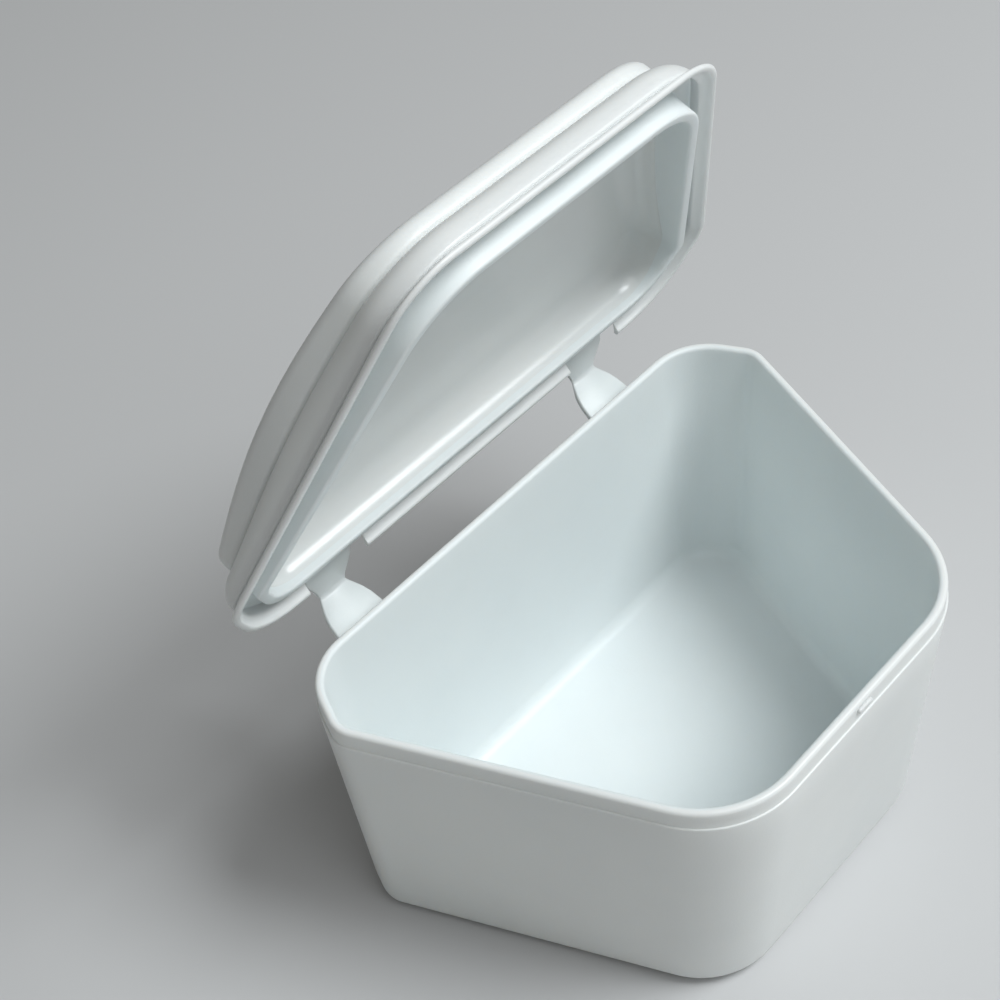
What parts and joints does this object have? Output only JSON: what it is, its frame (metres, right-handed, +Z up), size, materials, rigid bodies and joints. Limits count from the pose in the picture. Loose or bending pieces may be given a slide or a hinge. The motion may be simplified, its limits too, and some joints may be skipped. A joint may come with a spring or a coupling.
{
  "type": "denture case",
  "caption": "Deep tapered plastic tub, wider at the back, with a stepped domed lid standing open on two narrow living hinges.",
  "frame": {"origin": "middle of the tub's flat bottom", "axes": "+Z up, +X along the hinge axis, +Y towards the hinges, so -Y is the front with the catch"},
  "size_m": [0.0958, 0.0721, 0.1101],
  "materials": {
    "tub_plastic": "satin moulded polypropylene, bluish white",
    "lid_plastic": "gloss moulded polypropylene, white",
    "hinge_plastic": "thin moulded polypropylene, slightly translucent white"
  },
  "bodies": {
    "tub": {"tub_shell": "tub_plastic", "tub_neck": "tub_plastic", "tub_catch_bead": "tub_plastic", "hinge_base_leaf_left": "hinge_plastic", "hinge_base_leaf_right": "hinge_plastic"},
    "lid": {"lid_crown": "lid_plastic", "lid_step": "lid_plastic", "lid_plug_ring": "lid_plastic", "lid_skirt": "lid_plastic", "lid_catch_rib": "lid_plastic", "hinge_lid_leaf_left": "hinge_plastic", "hinge_lid_leaf_right": "hinge_plastic"}
  },
  "joints": [
    {"name": "lid_hinge", "type": "hinge", "parent": "tub", "child": "lid", "pos_m": [0, 0.0387, 0.04297], "axis": [-1, 0, 0], "range_deg": [-69.1, 110.9]}
  ]
}
